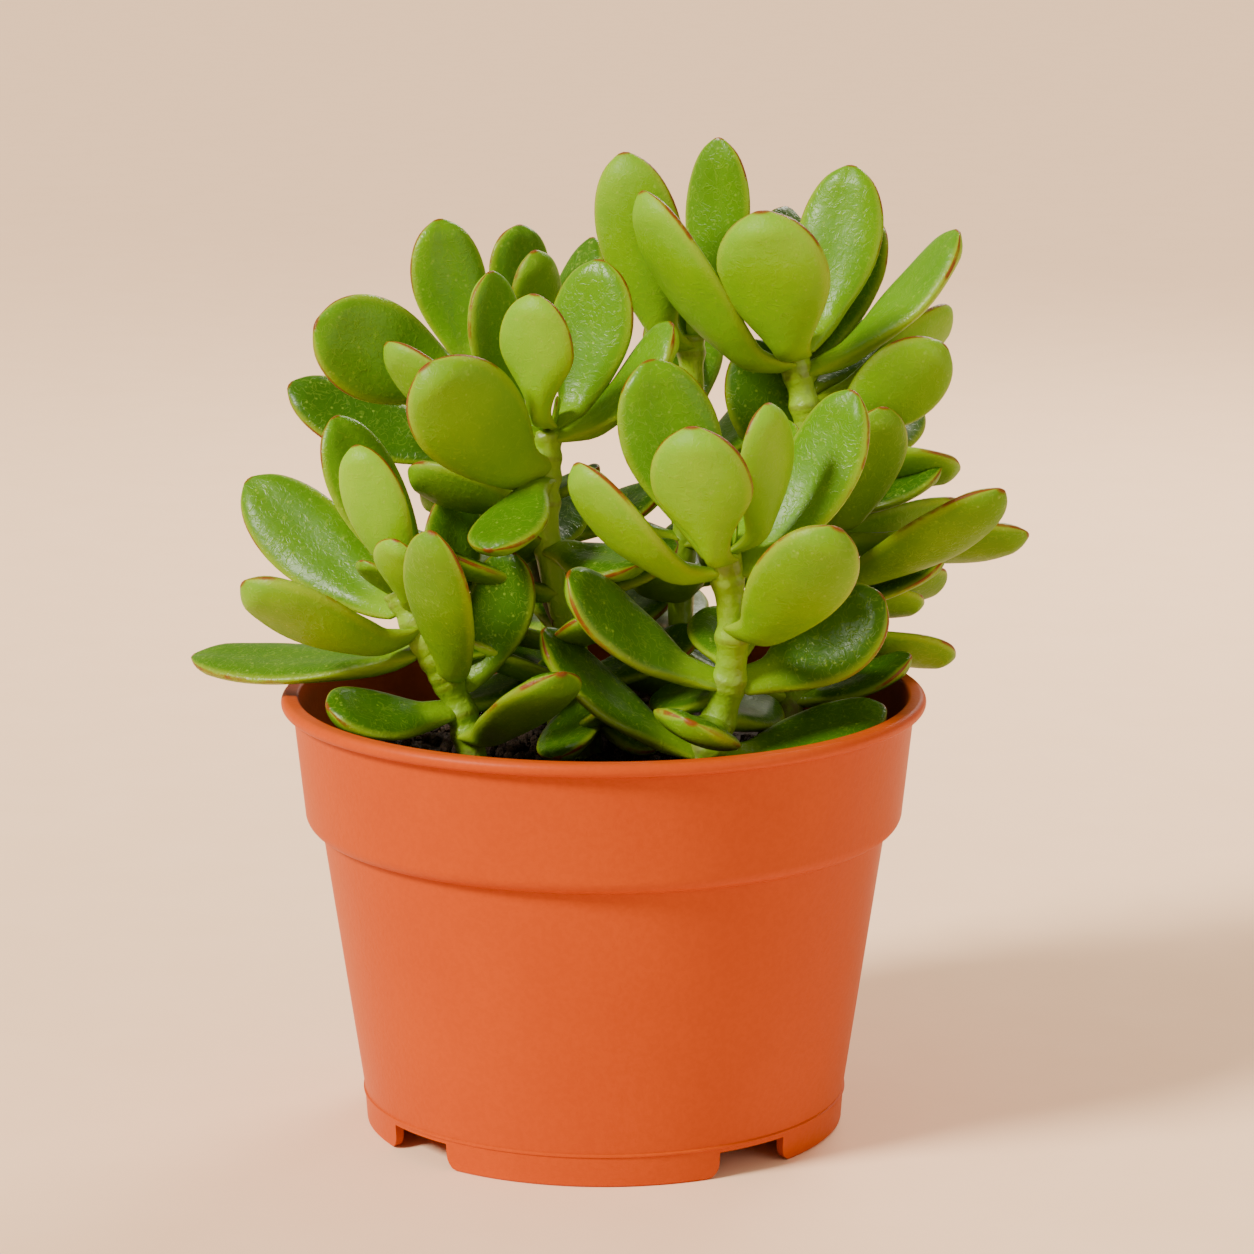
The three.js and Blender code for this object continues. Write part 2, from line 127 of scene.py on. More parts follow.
def mix(tree, factor, low, high, blend="MIX"):
    node = tree.nodes.new("ShaderNodeMix")
    node.data_type = "RGBA"
    node.blend_type = blend
    for index, value in ((0, factor), (6, low), (7, high)):
        if isinstance(value, bpy.types.NodeSocket):
            tree.links.new(value, node.inputs[index])
        else:
            node.inputs[index].default_value = value
    return node.outputs[2]


def ramp(tree, value, low, high, to_low=0.0, to_high=1.0):
    inputs = {"Value": value, "From Min": low, "From Max": high, "To Min": to_low, "To Max": to_high}
    node = add(tree, "ShaderNodeMapRange", inputs, interpolation_type="SMOOTHSTEP")
    return node.outputs["Result"]


def attribute(tree, name):
    return add(tree, "ShaderNodeAttribute", attribute_name=name).outputs["Fac"]


def new_material(name):
    material = bpy.data.materials.new(name)
    material.use_nodes = True
    tree = material.node_tree
    return material, tree, tree.nodes["Principled BSDF"]


# %% [markdown]
# ## Mottling and grain
# Every surface here varies: leaves are blotched, plastic is grained, bark is patchy. Three node groups
# are shared by all of them. Mottling is a soft, cloudy mask, grain is a fine height for a bump, and
# creases are thin winding lines, drawn where a noise crosses its middle value.

# %% Shared node groups
def surface_group(name, inputs):
    group = bpy.data.node_groups.new(name, "ShaderNodeTree")
    for socket, value in inputs.items():
        made = group.interface.new_socket(socket, in_out="INPUT", socket_type="NodeSocketFloat")
        made.default_value = value
    group.interface.new_socket("Value", in_out="OUTPUT", socket_type="NodeSocketFloat")
    given = group.nodes.new("NodeGroupInput")
    out = group.nodes.new("NodeGroupOutput")
    place = group.nodes.new("ShaderNodeTexCoord").outputs["Object"]
    return group, given, out, place


def mottling_group():
    group, given, out, place = surface_group("mottling", {"Scale": 90.0, "Contrast": 0.2})
    cloud = add(group, "ShaderNodeTexNoise",
                {"Vector": place, "Scale": given.outputs["Scale"], "Detail": 4.0, "Roughness": 0.6})
    low = math_node(group, "SUBTRACT", 0.5, given.outputs["Contrast"])
    high = math_node(group, "ADD", 0.5, given.outputs["Contrast"])
    group.links.new(ramp(group, cloud.outputs["Fac"], low, high), out.inputs["Value"])
    return group


def grain_group():
    group, given, out, place = surface_group("grain", {"Scale": 900.0, "Wrinkle": 0.5})
    warp = add(group, "ShaderNodeTexNoise",
               {"Vector": place, "Scale": given.outputs["Scale"], "Detail": 3.0, "Distortion": 1.2})
    cells = add(group, "ShaderNodeTexVoronoi",
                {"Vector": place, "Scale": given.outputs["Scale"]}, feature="SMOOTH_F1")
    lifted = math_node(group, "MULTIPLY", cells.outputs["Distance"], given.outputs["Wrinkle"])
    group.links.new(math_node(group, "ADD", warp.outputs["Fac"], lifted), out.inputs["Value"])
    return group


def creases_group():
    group, given, out, place = surface_group("creases", {"Scale": 560.0, "Width": 0.04})
    field = add(group, "ShaderNodeTexNoise",
                {"Vector": place, "Scale": given.outputs["Scale"], "Detail": 1.0, "Distortion": 0.8})
    away = math_node(group, "ABSOLUTE", math_node(group, "SUBTRACT", field.outputs["Fac"], 0.5))
    line = math_node(group, "SUBTRACT", 1.0, math_node(group, "DIVIDE", away, given.outputs["Width"]))
    group.links.new(math_node(group, "MAXIMUM", line, 0.0), out.inputs["Value"])
    return group


MOTTLING = mottling_group()
GRAIN = grain_group()
CREASES = creases_group()


def use_group(tree, group, **inputs):
    node = tree.nodes.new("ShaderNodeGroup")
    node.node_tree = group
    for name, value in inputs.items():
        node.inputs[name].default_value = value
    return node.outputs["Value"]


def bump(tree, height, strength, distance):
    node = add(tree, "ShaderNodeBump", {"Height": height, "Strength": strength, "Distance": distance})
    return node.outputs["Normal"]


print("node groups", [group.name for group in bpy.data.node_groups])

# %% [markdown]
# ## The finish of a leaf
# The upper face is a deep, glossy green and the underside a paler lime. Both turn yellow towards the
# foot, a thin red-brown line runs round the margin and gathers at the tip, and small pale dots are
# scattered over the skin. The fine leaf carries this in attributes of its own: along, rim, upper, age.

# %% Leaf material
UPPER_YOUNG = (0.115, 0.275, 0.0003, 1)
UPPER_OLD = (0.032, 0.100, 0.0005, 1)
UNDER_YOUNG = (0.215, 0.430, 0.0003, 1)
UNDER_OLD = (0.110, 0.235, 0.0003, 1)
FOOT_LIME = (0.21, 0.38, 0.001, 1)
MARGIN_RED = (0.17, 0.050, 0.004, 1)
MARGIN_PALE = (0.28, 0.38, 0.012, 1)
DOT_PALE = (0.28, 0.42, 0.04, 1)
BLOTCH_TINT = (0.74, 0.84, 0.8, 1)


def leaf_skin():
    material, tree, skin = new_material("leaf_skin")
    along, rim = attribute(tree, "along"), attribute(tree, "rim")
    upper, age = attribute(tree, "upper"), attribute(tree, "age")
    blotches = use_group(tree, MOTTLING, Scale=70.0, Contrast=0.25)
    top = mix(tree, age, UPPER_YOUNG, UPPER_OLD)
    under = mix(tree, age, UNDER_YOUNG, UNDER_OLD)
    colour = mix(tree, ramp(tree, upper, 0.3, 0.7), under, top)
    deeper = mix(tree, 1.0, colour, BLOTCH_TINT, "MULTIPLY")
    colour = mix(tree, blotches, colour, deeper)
    colour = mix(tree, ramp(tree, along, 0.30, 0.0, 0.0, 0.7), colour, FOOT_LIME)
    place = tree.nodes.new("ShaderNodeTexCoord").outputs["Object"]
    dots = add(tree, "ShaderNodeTexVoronoi", {"Vector": place, "Scale": 480.0}).outputs["Distance"]
    colour = mix(tree, ramp(tree, dots, 0.19, 0.07, 0.0, 0.4), colour, DOT_PALE)
    creases = use_group(tree, CREASES, Scale=560.0, Width=0.035)
    colour = mix(tree, math_node(tree, "MULTIPLY", creases, 0.20), colour, DOT_PALE)
    colour = mix(tree, ramp(tree, rim, 0.80, 0.98, 0.0, 0.5), colour, MARGIN_PALE)
    patchy = use_group(tree, MOTTLING, Scale=110.0, Contrast=0.2)
    near_tip = math_node(tree, "ADD", along, ramp(tree, patchy, 0.0, 1.0, -0.22, 0.22))
    edge = ramp(tree, rim, 0.955, 0.992)
    redness = math_node(tree, "MULTIPLY", edge, ramp(tree, near_tip, 0.55, 0.98))
    point = ramp(tree, along, 0.990, 0.9985)
    colour = mix(tree, math_node(tree, "MAXIMUM", redness, point), colour, MARGIN_RED)
    tree.links.new(colour, skin.inputs["Base Color"])
    gloss = ramp(tree, upper, 0.3, 0.7, 0.46, 0.33)
    worn = ramp(tree, blotches, 0.0, 1.0, -0.05, 0.06)
    tree.links.new(math_node(tree, "ADD", gloss, worn), skin.inputs["Roughness"])
    wrinkles = use_group(tree, GRAIN, Scale=420.0, Wrinkle=0.35)
    relief = math_node(tree, "ADD", wrinkles, math_node(tree, "MULTIPLY", creases, 0.35))
    tree.links.new(bump(tree, relief, 0.26, 0.0005), skin.inputs["Normal"])
    skin.inputs["Specular IOR Level"].default_value = 0.18
    skin.inputs["Subsurface Weight"].default_value = 0.15
    skin.inputs["Subsurface Radius"].default_value = (0.6, 1.0, 0.05)
    skin.inputs["Subsurface Scale"].default_value = 0.0025
    return material


LEAF_SKIN = leaf_skin()

# %% [markdown]
# ## The shoots
# Six cuttings stand in the pot, and one of them is branched. Each stem's middle line is a smooth curve
# through a few points, the same as the solids', in millimetres. The leaves come next and need these
# lines, because a jade leaf has no stalk: its foot clasps the stem.

# %% The shoots' middle lines
SHOOTS = {
    "front": {"radius": 3.2, "bud": 20,
              "route": [(19, -25, 76), (24, -27, 94), (25, -29, 108), (23, -31, 123)]},
    "left": {"radius": 3.0, "bud": 0,
             "route": [(-26, -14, 76), (-29, -13, 89), (-35, -14, 101), (-41, -12, 112)]},
    "middle": {"radius": 2.8, "bud": 0,
               "route": [(-3, -2, 76), (-5, -4, 94), (-11, -6, 118), (-11, -6, 143)]},
    "side": {"radius": 2.5, "bud": 60,
             "route": [(-8, -5, 104), (-15, 5, 117), (-21, 10, 132), (-24, 12, 151)]},
    "right": {"radius": 3.0, "bud": 120,
              "route": [(36, 12, 76), (43, 14, 96), (45, 16, 116), (42, 18, 138), (38, 19, 156)]},
    "back_right": {"radius": 2.8, "bud": 130,
                   "route": [(16, 25, 76), (16, 28, 101), (18, 30, 135), (18, 30, 157)]},
    "back_left": {"radius": 2.8, "bud": 40,
                  "route": [(-9, 25, 76), (-11, 30, 101), (-15, 32, 132), (-15, 32, 158)]},
}
ROOT_DEPTH = 16
LINE_STEPS = 160
STEM_NODES = {shoot: "middle_stem" if shoot == "side" else shoot + "_stem" for shoot in SHOOTS}


def shoot_line(shoot):
    points = [Vector(p) for p in SHOOTS[shoot]["route"]]
    if shoot != "side":
        points.insert(0, points[0] - Vector((0, 0, ROOT_DEPTH)))
    spans = len(points) - 1
    knots = [points[0] * 2 - points[1]] + points + [points[-1] * 2 - points[-2]]
    line = []
    for i in range(1, spans + 1):
        p0, p1, p2, p3 = knots[i - 1 : i + 3]
        for k in range(LINE_STEPS // spans):
            t = k * spans / LINE_STEPS
            bend = (p2 - p0) * t + (2 * p0 - 5 * p1 + 4 * p2 - p3) * t * t
            line.append((2 * p1 + bend + (3 * p1 - p0 - 3 * p2 + p3) * t**3) / 2 * MM)
    return line + [points[-1] * MM]


LINES = {shoot: shoot_line(shoot) for shoot in SHOOTS}


def at_height(shoot, height):
    return min(LINES[shoot], key=lambda point: abs(point.z - height))


def beside(shoot, place):
    return min(LINES[shoot], key=lambda point: (point - place).length)


print("points on each middle line", {shoot: len(line) for shoot, line in LINES.items()})

# %% [markdown]
# ## Measuring a leaf
# A coarse leaf has a point at its foot, a point at its tip and six rings of eight points between. A
# merged copy shows them by how the points are joined: the two end points have eight neighbours. Each
# ring's two furthest points are the leaf's margins, and the flatter face is the upper one.

# %% Measure the leaf solids
RING_COUNT = 6
LEAF_SIDES = 8
RING_STATIONS = [(1 - math.cos(k * math.pi / (RING_COUNT + 1))) / 2 for k in range(RING_COUNT + 2)]
SHOULDER = 0.62
PETIOLE = 0.25
MERGE_DISTANCE = 1e-6
NARROWEST, WIDEST = 0.01, 0.999


def merged_copy(node):
    bm = bmesh.new()
    bm.from_mesh(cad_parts[node].data)
    bmesh.ops.remove_doubles(bm, verts=bm.verts, dist=MERGE_DISTANCE)
    return bm


def rings_between(bm):
    ends = [v for v in bm.verts if len(v.link_edges) == LEAF_SIDES]
    levels = [[ends[0]]]
    seen = {ends[0]}
    while len(seen) < len(bm.verts):
        ring = []
        for v in levels[-1]:
            for edge in v.link_edges:
                other = edge.other_vert(v)
                if other not in seen:
                    seen.add(other)
                    ring.append(other)
        levels.append(ring)
    return [[v.co.copy() for v in ring] for ring in levels]


def measured_ring(ring):
    pairs = [(a, b) for i, a in enumerate(ring) for b in ring[i + 1 :]]
    a, b = max(pairs, key=lambda pair: (pair[0] - pair[1]).length)
    middle = (a + b) / 2
    side = (a - b).normalized()
    rest = [p - middle for p in ring if p is not a and p is not b]
    low = max(rest, key=lambda p: (p - side * p.dot(side)).length)
    low = low - side * low.dot(side)
    return {"middle": middle, "half": (a - b).length / 2, "side": side, "up": -low.normalized()}


def measured_leaf(node):
    bm = merged_copy(node)
    rings = rings_between(bm)
    bm.free()
    spread = [max((p - q).length for p in ring for q in ring) for ring in (rings[1], rings[-2])]
    if spread[0] > spread[1]:
        rings.reverse()
    sections = [measured_ring(ring) for ring in rings[1:-1]]
    for before, after in zip(sections, sections[1:]):
        if after["side"].dot(before["side"]) < 0:
            after["side"] = -after["side"]
    middles = [rings[0][0]] + [s["middle"] for s in sections] + [rings[-1][0]]
    half = max(s["half"] for s in sections)
    waist = min(WIDEST, max(NARROWEST, (sections[2]["half"] / half - PETIOLE) / (1 - PETIOLE)))
    neck = math.log(waist) / math.log(math.sin(math.pi / 2 * RING_STATIONS[3] / SHOULDER))
    ups = [sections[0]["up"]] + [s["up"] for s in sections] + [sections[-1]["up"]]
    root = beside(node.split("_leaf_")[0], middles[0])
    return {"middles": middles, "ups": ups, "half": half, "neck": neck, "root": root}


leaf_nodes = sorted(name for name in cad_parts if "_leaf_" in name)
leaves = {name: measured_leaf(name) for name in leaf_nodes}
widths = [2 * leaf["half"] / MM for leaf in leaves.values()]
print("leaves", len(leaves), "widths mm", round(min(widths), 1), round(max(widths), 1))

# %% [markdown]
# ## Growing a fine leaf
# A sphere has the right make-up for a leaf: its poles become foot and tip, and its sides become the
# margins. Every point is moved to its place along the measured middle line, with a rounded lens for a
# section. The foot is thick, flares a little and is drawn in to the stem that it clasps, and the blade
# is slightly cupped.

# %% Grow a leaf from its middle line
SEGMENTS = 40
RINGS = 30
THICKNESS = 0.29
UPPER_SHARE = 0.4
FOOT_SHARE = 0.16
FOOT_FLARE = 0.45
FOOT_THICKNESS = 0.13
FOOT_ROUNDING = 3.4
BLADE_ROUNDING = 1.75
TIP_POINT = 0.012
TIP_START, TIP_REACH = 0.985, 0.015
SECTION_POWER, FOOT_POWER = 1.15, 0.15
CUP_DEPTH, CUP_WIDTH = 0.30, 0.45
RIPPLE_SIZE, RIPPLE_SCALE = 0.022, 0.11
POLE = 1e-6
LEAF_MARKS = ("along", "rim", "upper", "age")


def smooth_line(points, at):
    knots = np.array(RING_STATIONS)
    grid = np.array([list(p) for p in points])
    slopes = np.gradient(grid, knots, axis=0)
    i = int(min(len(knots) - 2, max(0, np.searchsorted(knots, at) - 1)))
    gap = knots[i + 1] - knots[i]
    t = (at - knots[i]) / gap
    start, end = grid[i], grid[i + 1]
    ease = t * t * (3 - 2 * t)
    pull = t * (1 - t) ** 2 * gap * slopes[i] - t * t * (1 - t) * gap * slopes[i + 1]
    return Vector(start + (end - start) * ease + pull)


def outline(along, neck):
    if along > SHOULDER:
        past = (along - SHOULDER) / (1 - SHOULDER)
        return math.sqrt(max(0.0, 1 - past * past))
    return PETIOLE + (1 - PETIOLE) * math.sin(math.pi / 2 * along / SHOULDER) ** neck


def grow_leaf(bm, leaf, age, seed):
    for mark in LEAF_MARKS:
        bm.verts.layers.float.new(mark)
    layers = {mark: bm.verts.layers.float[mark] for mark in LEAF_MARKS}
    made = bmesh.ops.create_uvsphere(bm, u_segments=SEGMENTS, v_segments=RINGS, radius=1)["verts"]
    middles, ups = leaf["middles"], leaf["ups"]
    long = (middles[-1] - middles[0]).length
    wide = 2 * leaf["half"]
    frames = {}
    shift = Vector((seed * 3.1, seed * 1.7, 0))
    for v in made:
        x, y, polar = v.co
        along = (1 - polar) / 2
        key = round(along, 5)
        if key not in frames:
            here = smooth_line(middles, along)
            behind, ahead = max(0, along - 0.01), min(1, along + 0.01)
            forward = (smooth_line(middles, ahead) - smooth_line(middles, behind)).normalized()
            up = smooth_line(ups, along)
            up = (up - forward * up.dot(forward)).normalized()
            frames[key] = (here, forward, up, forward.cross(up))
        here, forward, up, across = frames[key]
        ring = math.hypot(x, y)
        side, face = (x / ring, y / ring) if ring > POLE else (0.0, 0.0)
        near_foot = max(0.0, 1 - along / FOOT_SHARE)
        half_width = leaf["half"] * outline(along, leaf["neck"])
        half_width *= min(1, FOOT_ROUNDING * ring) if along < SHOULDER else 1
        half_width *= 1 + FOOT_FLARE * near_foot**2
        blade = THICKNESS * wide * (UPPER_SHARE if face > 0 else 1 - UPPER_SHARE)
        stalk = FOOT_THICKNESS * wide
        depth = (blade + (stalk - blade) * near_foot) * min(1, BLADE_ROUNDING * ring)
        swell = abs(face) ** (SECTION_POWER - FOOT_POWER * near_foot)
        hollow = CUP_DEPTH * math.exp(-((side / CUP_WIDTH) ** 2))
        cup = 1 - hollow * (1 - near_foot) if face > 0 else 1
        spot = (here / MM + shift) * RIPPLE_SCALE + Vector((side, face, 0)) * 0.5
        ripple = noise.noise(spot) * RIPPLE_SIZE * wide
        rise = math.copysign(depth * swell * cup, face) + ripple * (1 - near_foot) * min(1, 2 * ring)
        clasp = (leaf["root"] - middles[0]) * near_foot**2
        point = TIP_POINT * long * max(0.0, (along - TIP_START) / TIP_REACH)
        v.co = here + across * side * half_width + up * rise + forward * point + clasp
        v[layers["along"]] = along
        v[layers["rim"]] = abs(side) if ring > POLE else 1.0
        v[layers["upper"]] = 0.5 + 0.5 * face
        v[layers["age"]] = age


def leaf_piece(name, leaf, age, node=None):
    bm = bmesh.new()
    grow_leaf(bm, leaf, age, sum(map(ord, name)) % 17)
    bmesh.ops.recalc_face_normals(bm, faces=bm.faces)
    return piece(name, bm, LEAF_SKIN, node)


AGE_PACE = 1.5
LONE_LEAF_AGE = 0.3
OLDEST, YOUNGEST = 0.85, 0.05


# The lower a leaf stands on its shoot, the older and darker it is.
def age_of(height, shoot):
    heights = [leaves[n]["middles"][0].z for n in leaf_nodes if n.startswith(shoot + "_leaf_")]
    span = max(heights) - min(heights)
    if span <= 5 * MM:
        return LONE_LEAF_AGE
    return min(1, AGE_PACE * (1 - (height - min(heights)) / span))


for name, leaf in leaves.items():
    shoot = name.split("_leaf_")[0]
    age = OLDEST * age_of(leaf["middles"][0].z, shoot) + YOUNGEST
    leaf_piece(name + "_blade", leaf, age, name)
print("fine leaves", len(leaves))

# %% [markdown]
# ## The finish of a stem
# Young stems are yellow-green. Low down they turn brown and corky, in patches that meet the green at
# a ragged edge, and thin brown rings mark where old leaves have dropped.

# %% Stem material
STEM_GREEN = (0.13, 0.25, 0.002, 1)
STEM_LIME = (0.23, 0.40, 0.003, 1)
STEM_CORK = (0.10, 0.058, 0.016, 1)


def stem_bark():
    material, tree, bark = new_material("stem_bark")
    rise, joint = attribute(tree, "rise"), attribute(tree, "joint")
    patches = use_group(tree, MOTTLING, Scale=260.0, Contrast=0.3)
    colour = mix(tree, ramp(tree, rise, 0.1, 0.9), STEM_GREEN, STEM_LIME)
    ragged = math_node(tree, "ADD", rise, ramp(tree, patches, 0.0, 1.0, -0.14, 0.14))
    colour = mix(tree, ramp(tree, ragged, 0.42, 0.08, 0.0, 0.85), colour, STEM_CORK)
    scars = math_node(tree, "MULTIPLY", ramp(tree, joint, 0.80, 0.97, 0.0, 0.55), patches)
    colour = mix(tree, scars, colour, STEM_CORK)
    tree.links.new(colour, bark.inputs["Base Color"])
    tree.links.new(ramp(tree, ragged, 0.1, 0.5, 0.75, 0.42), bark.inputs["Roughness"])
    ridges = use_group(tree, GRAIN, Scale=700.0, Wrinkle=0.8)
    tree.links.new(bump(tree, ridges, 0.4, 0.0005), bark.inputs["Normal"])
    bark.inputs["Subsurface Weight"].default_value = 0.12
    bark.inputs["Subsurface Radius"].default_value = (0.5, 0.8, 0.2)
    bark.inputs["Subsurface Scale"].default_value = 0.002
    return material


STEM_BARK = stem_bark()


# %% [markdown]
# ## Growing the stems
# A stem is a tube that follows its shoot's middle line, swollen into a collar wherever leaves spring
# from it. A flat grid is wrapped round the line, one row to each point, and its seam is merged. The
# last rows close over the top in a small dome.

# %% Grow the stems
STEM_SIDES = 28
STEM_TAPER = 0.12
COLLAR_SWELL = 0.22
COLLAR_REACH = 1.7 * MM
DOME = 0.012
BARK_RELIEF, BARK_SCALE, BARK_STRETCH = 0.05, 1.6, 0.2


def node_heights(shoot):
    return [leaves[n]["middles"][0].z for n in leaf_nodes if n.startswith(shoot + "_leaf_")]


def grow_stem(bm, shoot):
    line, joints = LINES[shoot], node_heights(shoot)
    radius = SHOOTS[shoot]["radius"] * MM
    for mark in ("rise", "joint"):
        bm.verts.layers.float.new(mark)
    rise, joint = bm.verts.layers.float["rise"], bm.verts.layers.float["joint"]
    bmesh.ops.create_grid(bm, x_segments=STEM_SIDES, y_segments=len(line) - 1, size=1)
    for v in bm.verts:
        angle = math.pi * v.co.x
        share = (v.co.y + 1) / 2
        i = round(share * (len(line) - 1))
        here = line[i]
        ahead = (line[min(i + 1, len(line) - 1)] - line[max(i - 1, 0)]).normalized()
        turn = Vector((0, 0, 1)).rotation_difference(ahead)
        closeness = max(math.exp(-(((here.z - z) / COLLAR_REACH) ** 2)) for z in joints)
        dome = math.sqrt(max(0.0, 1 - max(0.0, (share - 1 + DOME) / DOME) ** 2))
        spot = Vector((math.cos(angle), math.sin(angle), here.z / MM * BARK_STRETCH))
        rough = 1 + BARK_RELIEF * noise.noise(spot * BARK_SCALE)
        reach = radius * (1 - STEM_TAPER * share) * (1 + COLLAR_SWELL * closeness) * dome * rough
        v.co = here + turn @ Vector((math.cos(angle), math.sin(angle), 0)) * reach
        v[rise], v[joint] = share, closeness
    bmesh.ops.remove_doubles(bm, verts=bm.verts, dist=MERGE_DISTANCE)
    bmesh.ops.holes_fill(bm, edges=[e for e in bm.edges if e.is_boundary])


for shoot, node in STEM_NODES.items():
    bm = bmesh.new()
    grow_stem(bm, shoot)
    bmesh.ops.recalc_face_normals(bm, faces=bm.faces)
    piece(shoot + "_stem_bark", bm, STEM_BARK, node)
print("stems", len(STEM_NODES))

# %% [markdown]
# ## The small leaves
# Some leaves have no solid of their own: those half hidden behind others, the row up the back of each
# back shoot, and the pair of buds opening at each tip. They are placed by the same growth rule as the
# solids: height on the stem, heading, lift, length, width, roll and curl, then how sharp the neck is.

# %% Small leaves
NECKS = {"broad": 0.95, "oval": 1.2, "spoon": 1.7}
SMALL_LEAVES = {
    "front": [(94, 120, -10, 26, 14, -25, 15, "oval"), (100, 95, 15, 25, 14, 0, 15, "oval")],
    "left": [(111, -140, 40, 12, 8, 10, 10, "oval"), (88, 50, 10, 23, 13, 0, 15, "oval"),
             (98, 30, 15, 21, 12, 10, 15, "oval")],
    "middle": [(89, -110, -35, 18, 15, 20, 15, "oval"), (87, -5, -30, 18, 15, 15, 15, "oval")],
    "side": [],
    "right": [(132, 55, 10, 40, 16, 25, 15, "oval"), (118, 35, 0, 36, 16, -50, 15, "oval"),
              (106, 15, -10, 22, 13, -35, 15, "oval"), (154, 90, 45, 38, 16, 35, 15, "spoon"),
              (148, 60, 45, 44, 16, -5, 15, "spoon"), (146, 55, 20, 36, 15, 0, 15, "spoon")],
    "back_right": [(143, 100, 45, 30, 16, 35, 15, "spoon")],
    "back_left": [(146, -85, 65, 32, 14, 35, 15, "oval"), (143, 60, 50, 40, 14, -15, 15, "spoon")],
}
BACK_ROWS = {"back_right": (95, (95, 40)), "back_left": (94, (105, 165))}
BACK_SPACING = 11
BACK_COUNT = 5
BACK_LIFT, BACK_LIFT_STEP = 6, 9
BACK_LENGTH, BACK_WIDTH, BACK_CURL = 38, 17, 20
BUD_DROP = 2.5
BUD_LIFT, BUD_LENGTH, BUD_WIDTH, BUD_CURL = 78, 9, 5, 10
SMALL_AGE, BACK_AGE, BACK_AGE_STEP = 0.75, 0.8, 0.14


def planned_leaf(shoot, row):
    height, heading, lift, long, wide, roll, curl, shape = row
    turn = (Matrix.Rotation(math.radians(heading), 3, "Z") @ Matrix.Rotation(-math.radians(lift), 3, "Y")
            @ Matrix.Rotation(math.radians(roll), 3, "X"))
    foot = at_height(shoot, height * MM)
    bend = math.radians(curl)
    middles, ups = [], []
    for along in RING_STATIONS:
        angle = (along - 0.5) * bend
        sag = long * (math.cos(bend / 2) - math.cos(angle)) / (2 * math.sin(bend / 2))
        middles.append(foot + turn @ Vector((long * along, 0, sag)) * MM)
        ups.append(turn @ Vector((-math.sin(angle), 0, math.cos(angle))))
    return {"middles": middles, "ups": ups, "half": wide / 2 * MM, "neck": NECKS[shape], "root": foot}


def bud_rows(shoot):
    height = SHOOTS[shoot]["route"][-1][2] - BUD_DROP
    return [(height, SHOOTS[shoot]["bud"] + half_turn, BUD_LIFT, BUD_LENGTH, BUD_WIDTH, 0, BUD_CURL, "spoon")
            for half_turn in (0, 180)]


def back_rows(shoot):
    if shoot not in BACK_ROWS:
        return []
    low, headings = BACK_ROWS[shoot]
    return [(low + k * BACK_SPACING, headings[k % 2], BACK_LIFT + BACK_LIFT_STEP * k, BACK_LENGTH - k,
             BACK_WIDTH, 0, BACK_CURL, "spoon") for k in range(BACK_COUNT)]


small_count = 0
for shoot, rows in SMALL_LEAVES.items():
    kinds = {"small": rows, "back": back_rows(shoot), "bud": bud_rows(shoot)}
    for kind, kind_rows in kinds.items():
        for k, row in enumerate(kind_rows):
            age = {"small": SMALL_AGE, "back": BACK_AGE - BACK_AGE_STEP * k, "bud": 0.0}[kind]
            leaf_piece(f"{shoot}_{kind}_{k + 1}_blade", planned_leaf(shoot, row), age)
            small_count += 1
print("small leaves", small_count)

# %% [markdown]
# ## The inner leaves
# Down among the stems a jade plant keeps short, very dark leaves that hardly any light reaches. They
# fill the middle of the plant. Opposite pairs climb each stem, each pair a quarter turn on from the one
# below, and every pair is placed by its height, its first heading, and its length.

# %% Inner leaves
INNER_PAIRS = {
    "middle": [(83, -70, 22), (91, 15, 26), (100, 100, 27), (109, 10, 26)],
    "back_left": [(84, -60, 27), (93, 200, 28), (103, -75, 28), (114, 190, 27)],
    "back_right": [(84, -110, 27), (93, -15, 28), (103, -100, 28), (114, -20, 27), (126, -105, 24)],
    "right": [(84, 170, 26), (93, -95, 24), (104, 175, 27), (122, 180, 26)],
    "side": [(116, 70, 24), (126, -30, 22)],
}
INNER_WIDTH = 0.55
INNER_LIFT, INNER_ROLL, INNER_CURL = 22, 15, 20


def inner_rows(shoot):
    rows = []
    for height, heading, long in INNER_PAIRS[shoot]:
        for half_turn in (0, 180):
            rows.append((height, heading + half_turn, INNER_LIFT, long, INNER_WIDTH * long,
                         INNER_ROLL, INNER_CURL, "oval"))
    return rows


inner_count = 0
for shoot in INNER_PAIRS:
    for k, row in enumerate(inner_rows(shoot)):
        leaf_piece(f"{shoot}_inner_{k + 1}_blade", planned_leaf(shoot, row), 1.0)
        inner_count += 1
print("inner leaves", inner_count)

# %% [markdown]
# ## The potting soil
# Potting soil is dark, crumbly and never level. Its finish is two browns in small patches, quite matt,
# under a strong bump.

# %% Soil material
SOIL_DARK = (0.018, 0.010, 0.006, 1)
SOIL_BROWN = (0.085, 0.048, 0.028, 1)


def soil_crumb():
    material, tree, soil = new_material("soil_crumb")
    patches = use_group(tree, MOTTLING, Scale=300.0, Contrast=0.3)
    colour = mix(tree, patches, SOIL_DARK, SOIL_BROWN)
    tree.links.new(colour, soil.inputs["Base Color"])
    soil.inputs["Roughness"].default_value = 0.95
    crumbly = use_group(tree, GRAIN, Scale=1400.0, Wrinkle=1.0)
    tree.links.new(bump(tree, crumbly, 0.9, 0.0012), soil.inputs["Normal"])
    return material


SOIL_CRUMB = soil_crumb()

# %% [markdown]
# ## The soil bed
# A fine disc is raised and lowered by noise to make the top of the bed. Its edge is then drawn down
# inside the pot and closed underneath, so that soil shows through the drain holes too. Over a thousand
# crumbs of a few faces each are pressed into the top, which gives the broken edge that noise alone
# can't.

